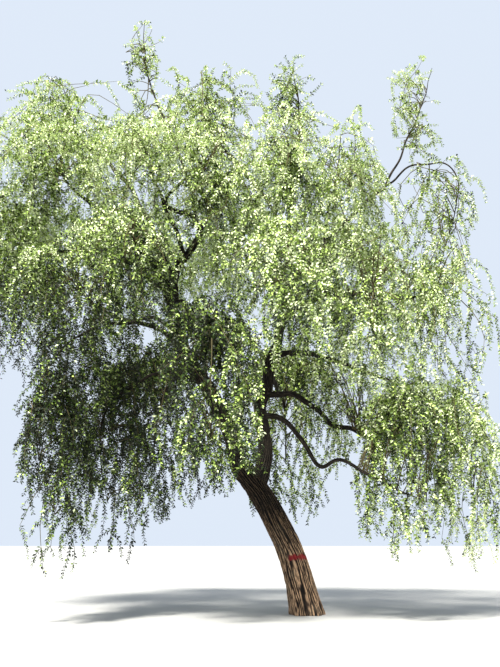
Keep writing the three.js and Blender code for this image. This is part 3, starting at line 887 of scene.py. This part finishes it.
def fit_in(mass, starts, ways, rng):
    """Points along each shoot, shortened to stay inside its mass, its length, and whether it fits."""
    count = len(starts)
    sway = rng.uniform(-SHOOT_SWAY, SHOOT_SWAY, (count, 3))
    fall = unit(mass["hang"] * DOWN + sway)
    nearest, furthest = SHOOT_LIMITS
    limit = nearest + (furthest - nearest) * rng.uniform(0, 1, count) ** SHOOT_LIMIT_POWER
    limit = np.maximum(limit, np.minimum(depth_in(mass, starts) + TIP_MARGIN, furthest))
    length = rng.uniform(*SHOOT_LENGTHS, count)
    droop = rng.uniform(*SHOOT_DROOPS, count)
    for _ in range(FITTING_ROUNDS):
        points = grow_shoots(starts, ways, fall, length, droop)
        inside = depth_in(mass, points) <= limit[:, None]
        reached = np.cumprod(inside, axis=1).sum(axis=1)
        shorter = length * np.maximum(reached, 1) / SHOOT_STATIONS
        length = np.where(reached == SHOOT_STATIONS, length, shorter)
    return points, length, (length > SHOOT_SHORTEST) & (reached == SHOOT_STATIONS)


def shoots_of(mass, branches, rng):
    """Points along each shoot of a mass, its length, and the share of each branch up to its last
    shoot."""
    starts, ways, shares, owners = shoot_starts(mass, branches, rng)
    fullness = [smoothstep(*CLUMP_RANGE, noise.noise(Vector(start * CLUMP_RATE))) for start in starts]
    grown = rng.uniform(0, 1, len(starts)) < np.maximum(fullness, CLUMP_LEAST)
    points, length, fits = fit_in(mass, starts[grown], ways[grown], rng)
    ends = np.zeros(len(branches))
    np.maximum.at(ends, owners[grown][fits], shares[grown][fits])
    return points[fits], length[fits], ends


# Leaves of a mass

def leaf_places(points, length, rng):
    """For each leaf its shoot, its pair and its hand there, its share of the shoot, the point that it
    grows from, and the way of the shoot there."""
    pairs = np.maximum((length / LEAF_SPACING).astype(int), FEWEST_PAIRS)
    shoot = np.repeat(np.arange(len(length)), 2 * pairs)
    first = np.concatenate([[0], np.cumsum(2 * pairs)[:-1]])
    order = np.arange(len(shoot)) - first[shoot]
    pair, hand = order // 2, order % 2
    jitter = rng.uniform(-PAIR_JITTER, PAIR_JITTER, len(shoot))
    share = np.minimum((pair + PAIR_START + jitter) / pairs[shoot], 1.0)
    place = share * (SHOOT_STATIONS - 1)
    segment = np.minimum(place.astype(int), SHOOT_STATIONS - 2)
    start, end = points[shoot, segment], points[shoot, segment + 1]
    base = start + (end - start) * (place - segment)[:, None]
    return shoot, pair, hand, share, base, unit(end - start)


def leaves_of(points, length, crown_centre, rng):
    """Corners of every leaf along the shoots, four to a leaf, and the shoot of each leaf."""
    shoot, pair, hand, share, base, along = leaf_places(points, length, rng)
    count = len(shoot)
    side = unit(np.cross(along, LEAF_ASIDE))
    over = np.cross(side, along)
    turn = (rng.uniform(0, 2 * math.pi, len(length))[shoot] + pair * (math.pi / 2) + hand * math.pi
            + rng.uniform(-LEAF_TURN, LEAF_TURN, count))[:, None]
    outward = np.cos(turn) * side + np.sin(turn) * over
    way = unit(LEAF_OUTWARD * outward + LEAF_ALONG * along + LEAF_DROOP * DOWN
               + rng.uniform(-LEAF_SWAY, LEAF_SWAY, (count, 3)))
    facing = (unit(base - crown_centre) + LEAF_UPWARD * UP
              + rng.uniform(-LEAF_TILT, LEAF_TILT, (count, 3)))
    facing = unit(facing - way * np.sum(facing * way, axis=1, keepdims=True))
    across = np.cross(way, facing)
    size = LEAF_LENGTH * rng.uniform(*LEAF_SIZES, count) * (LEAF_SIZE_FIRST - LEAF_SIZE_LOSS * share)
    size = size[:, None]
    half = size * LEAF_WIDTH / 2 * rng.uniform(*LEAF_WIDTHS, (count, 1))
    widest = base + way * size * LEAF_WIDEST + facing * size * LEAF_FOLD
    tip = base + way * size
    return np.stack([base, widest + across * half, tip, widest - across * half], axis=1), shoot


def shade_at(points):
    """How shaded the crown is at each point, from 0 at its top."""
    low = np.maximum(1 - points[:, 2] / SHADE_HEIGHT, 0) ** SHADE_POWER
    by_side = SHADE_MIDDLE - SHADE_SLANT * np.minimum(points[:, 0], SHADE_RIGHT)
    return np.minimum(low * by_side, SHADE_MOST)


def tones_of(mass, points, shoot, rng):
    """The tone of each leaf: painted light and shade by where its shoot hangs, then a little by leaf.
    """
    middle = points.mean(axis=1)
    from_centre = np.linalg.norm((middle - CROWN_CENTRE) / CROWN_REACH, axis=-1)
    # Painted light and shade: leaves paler towards the rim of the crown and of their mass, darker
    # inward
    light_outness = OUT_IN_CROWN * from_centre + OUT_IN_MASS * depth_in(mass, middle)
    patch = np.array([noise.noise(Vector(point * TONE_RATE)) for point in middle])
    last = len(LEAF_TONES) - 1
    tone = last * (TONE_START - LIGHT_OUTWARD * light_outness + TONE_SHADE * shade_at(middle))
    tone = tone + TONE_SWING * patch + THIN_SHADE * max(THIN_FULLNESS - mass["fullness"], 0)
    tone += rng.normal(0, TONE_SPREAD, len(points))
    return np.clip(np.round(tone[shoot] + rng.normal(0, LEAF_SPREAD, len(shoot))), 0, last)


# Foliage

def tapered_tubes(points, ends, sides):
    """Points and faces of many tubes that have the same number of stations and taper alike."""
    count, stations, _ = points.shape
    ways = unit(np.gradient(points, axis=1))
    side = unit(np.cross(ways[:, 0], TUBE_ASIDE))
    turns = 2 * math.pi * np.arange(sides) / sides
    cosines, sines = np.cos(turns)[None, :, None], np.sin(turns)[None, :, None]
    rings = []
    for station, radius in enumerate(np.linspace(*ends, stations)):
        way = ways[:, station]
        side = unit(side - way * np.sum(side * way, axis=1, keepdims=True))
        over = np.cross(way, side)
        spokes = cosines * side[:, None] + sines * over[:, None]
        rings.append(points[:, station, None] + radius * spokes)
    bases = np.arange(count) * stations * sides
    faces = tube_faces(stations, sides)[None] + bases[:, None, None]
    return np.stack(rings, axis=1).reshape(-1, 3), faces.reshape(-1, 4)


def foliage_of(mass, stretches, crown_centre):
    """Corners and tones of the leaves of a mass, and the tubes of its branches and shoots."""
    rng = np.random.default_rng(mass["seed"])
    branches = branches_of(mass, stretches)
    points, length, ends = shoots_of(mass, branches, rng)
    leaves, shoot = leaves_of(points, length, crown_centre, rng)
    tones = tones_of(mass, points, shoot, rng)
    grown = [line.at(np.linspace(0, end, BRANCH_STATIONS))
             for line, end in zip(branches, ends) if end > 0]
    tubes = [tapered_tubes(np.stack(grown), BRANCH_RADII, BRANCH_SIDES),
             tapered_tubes(points, SHOOT_RADII, SHOOT_SIDES)]
    return leaves, tones, tubes


def foliage_pieces(masses, stretches, materials):
    """The leaves of each group of masses as one piece, with their names, and all twigs as another."""
    by_name = {mass["name"]: mass for mass in masses}
    crown_centre = np.mean([mass["centre"] for mass in masses], axis=0) - UP
    pieces, all_tubes = [], []
    for group, names in FOLIAGE.items():
        grown = [foliage_of(by_name[name], stretches, crown_centre) for name in names]
        corners = np.concatenate([leaves for leaves, _, _ in grown])
        tones = np.concatenate([tones for _, tones, _ in grown])
        all_tubes += [tube for _, _, tubes in grown for tube in tubes]
        faces = (LEAF_FACES[None] + 4 * np.arange(len(corners))[:, None, None]).reshape(-1, 3)
        face_tones = np.repeat(tones, len(LEAF_FACES))
        pieces.append((mesh_piece(group + "_leaves", corners.reshape(-1, 3), faces,
                                  materials["leaves"], face_tones), names))
    return pieces, mesh_piece("twigs", *joined(all_tubes), [materials["twig"]])


# Materials

def set_inputs(node, values):
    for name, value in values.items():
        node.inputs[name].default_value = value


def new_material(name):
    """A material made of nodes, and its shader."""
    material = bpy.data.materials.new(name)
    material.use_nodes = True
    return material, material.node_tree.nodes["Principled BSDF"]


def plain_material(name, colour, roughness, specular):
    material, shader = new_material(name)
    set_inputs(shader, {"Base Color": (*colour, 1), "Roughness": roughness,
                        "Specular IOR Level": specular})
    return material


def attribute_node(nodes, name):
    attribute = nodes.new("ShaderNodeAttribute")
    attribute.attribute_name = name
    return attribute.outputs["Fac"]


def noise_node(nodes, links, place, values):
    texture = nodes.new("ShaderNodeTexNoise")
    set_inputs(texture, values)
    links.new(place, texture.inputs["Vector"])
    return texture.outputs["Fac"]


def ramp_node(nodes, links, factor, stops):
    ramp = nodes.new("ShaderNodeValToRGB")
    elements = ramp.color_ramp.elements
    while len(elements) < len(stops):
        elements.new(0.5)
    for element, (place, colour) in zip(elements, stops):
        element.position = place
        element.color = (*colour, 1)
    links.new(factor, ramp.inputs["Fac"])
    return ramp.outputs["Color"]


def mix_node(nodes, links, kind, factor, first, second):
    mix = nodes.new("ShaderNodeMix")
    mix.data_type = "RGBA"
    mix.blend_type = kind
    for socket, value in ((mix.inputs[0], factor), (mix.inputs[6], first), (mix.inputs[7], second)):
        if isinstance(value, (tuple, float)):
            socket.default_value = (*value, 1) if isinstance(value, tuple) else value
        else:
            links.new(value, socket)
    return mix.outputs[2]


def bark_colour(nodes, links, place, grain, tones):
    """Dark furrows, partly the bark's own colour and partly painted shade, paler ridges, grey patches
    of lichen and fine grain.
    """
    *relief_tones, lichen = tones
    relief = attribute_node(nodes, "relief")
    # Furrows near black: partly the bark's own colour, partly painted shade
    colour = ramp_node(nodes, links, relief, tuple(zip(RELIEF_PLACES, relief_tones)))
    spots = ramp_node(nodes, links, noise_node(nodes, links, place, LICHEN_NOISE), LICHEN_STOPS)
    colour = mix_node(nodes, links, "MIX", spots, colour, lichen)
    return mix_node(nodes, links, "MULTIPLY", 1.0, colour, ramp_node(nodes, links, grain, GRAIN_STOPS))


def painted(nodes, links, place, colour):
    """Bark with painted shade that darkens it up the trunk, under its band of paint."""
    height = nodes.new("ShaderNodeSeparateXYZ")
    links.new(place, height.inputs[0])
    # Painted shade of the crown: the bark's colour dimmed with height
    trunk_shade_factor = nodes.new("ShaderNodeMapRange")
    set_inputs(trunk_shade_factor, SHADE_UP_TRUNK)
    links.new(height.outputs["Z"], trunk_shade_factor.inputs["Value"])
    colour = mix_node(nodes, links, "MULTIPLY", 1.0, colour, trunk_shade_factor.outputs["Result"])
    return mix_node(nodes, links, "MIX", attribute_node(nodes, "paint"), colour, PAINT_COLOUR)


def bark_material(name, tones, has_shade_and_paint):
    material, shader = new_material(name)
    nodes, links = material.node_tree.nodes, material.node_tree.links
    set_inputs(shader, BARK_FINISH)
    place = nodes.new("ShaderNodeTexCoord").outputs["Object"]
    grain = noise_node(nodes, links, place, GRAIN_NOISE)
    colour = bark_colour(nodes, links, place, grain, tones)
    # The trunk gets painted shade up its height and its band of red paint
    if has_shade_and_paint:
        colour = painted(nodes, links, place, colour)
    links.new(colour, shader.inputs["Base Color"])
    bump = nodes.new("ShaderNodeBump")
    set_inputs(bump, GRAIN_BUMP)
    links.new(grain, bump.inputs["Height"])
    links.new(bump.outputs["Normal"], shader.inputs["Normal"])
    return material


def make_materials():
    return {
        "bark": bark_material("trunk_bark", TRUNK_TONES, True),
        # The boughs' darker tones are painted shade
        "bough": bark_material("bough_bark", SHADED_BOUGH_TONES, False),
        "twig": plain_material("twig_bark", TWIG_COLOUR, 0.8, 0.2),
        "leaves": [plain_material("leaf_" + tone, colour, 0.5, 0.35)
                   for tone, colour in LEAF_TONES.items()],
    }


# The view

def add_camera():
    camera = bpy.data.objects.new("camera", bpy.data.cameras.new("camera"))
    camera.location = CAMERA_PLACE
    camera.rotation_euler = (math.pi / 2 + CAMERA_TILT, 0, 0)
    camera.data.sensor_width = SENSOR
    camera.data.lens = SENSOR * FOCAL_PIXELS / PICTURE_HEIGHT
    camera.data.clip_end = CLIP_END
    bpy.context.scene.collection.objects.link(camera)
    bpy.context.scene.camera = camera


def add_light():
    sun = bpy.data.objects.new("sun", bpy.data.lights.new("sun", "SUN"))
    sun.data.energy = SUN_STRENGTH
    sun.data.angle = SUN_ANGLE
    sun.data.color = SUN_COLOUR
    sun.rotation_euler = SUN_TURN
    bpy.context.scene.collection.objects.link(sun)
    sky = bpy.data.worlds.new("studio")
    sky.use_nodes = True
    set_inputs(sky.node_tree.nodes["Background"],
               {"Color": (*SKY_COLOUR, 1), "Strength": SKY_STRENGTH})
    bpy.context.scene.world = sky
    bpy.context.scene.view_settings.view_transform = "Standard"


def add_floor():
    bpy.ops.mesh.primitive_plane_add(size=FLOOR_SIZE, location=(0, 0, -FLOOR_DROP))
    floor = bpy.context.object
    floor.name = "floor"
    floor.data.materials.append(plain_material("floor", FLOOR_COLOUR, 0.9, 0.2))


def declare(piece, slot, *nodes):
    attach(piece, "root")
    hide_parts(*nodes)


def main():
    add_camera()
    add_light()
    add_floor()
    limbs, masses = plan_tree()
    materials = make_materials()
    stretches = stretches_of(limbs)
    trunk = bark_piece("trunk_bark", [stretches["trunk"]], materials["bark"])
    others = [stretch for name, stretch in stretches.items() if name != "trunk"]
    boughs = bark_piece("bough_bark", others, materials["bough"])
    add_paint(trunk)
    declare(trunk, "bark", "trunk")
    limb_nodes = [name for name in limbs if name != "trunk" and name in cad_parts]
    declare(boughs, "limb_bark", *limb_nodes)
    pieces, twigs = foliage_pieces(masses, stretches, materials)
    for piece, names in pieces:
        declare(piece, "foliage", *names)
    declare(twigs, "limb_bark", *[mass["name"] for mass in masses])


main()
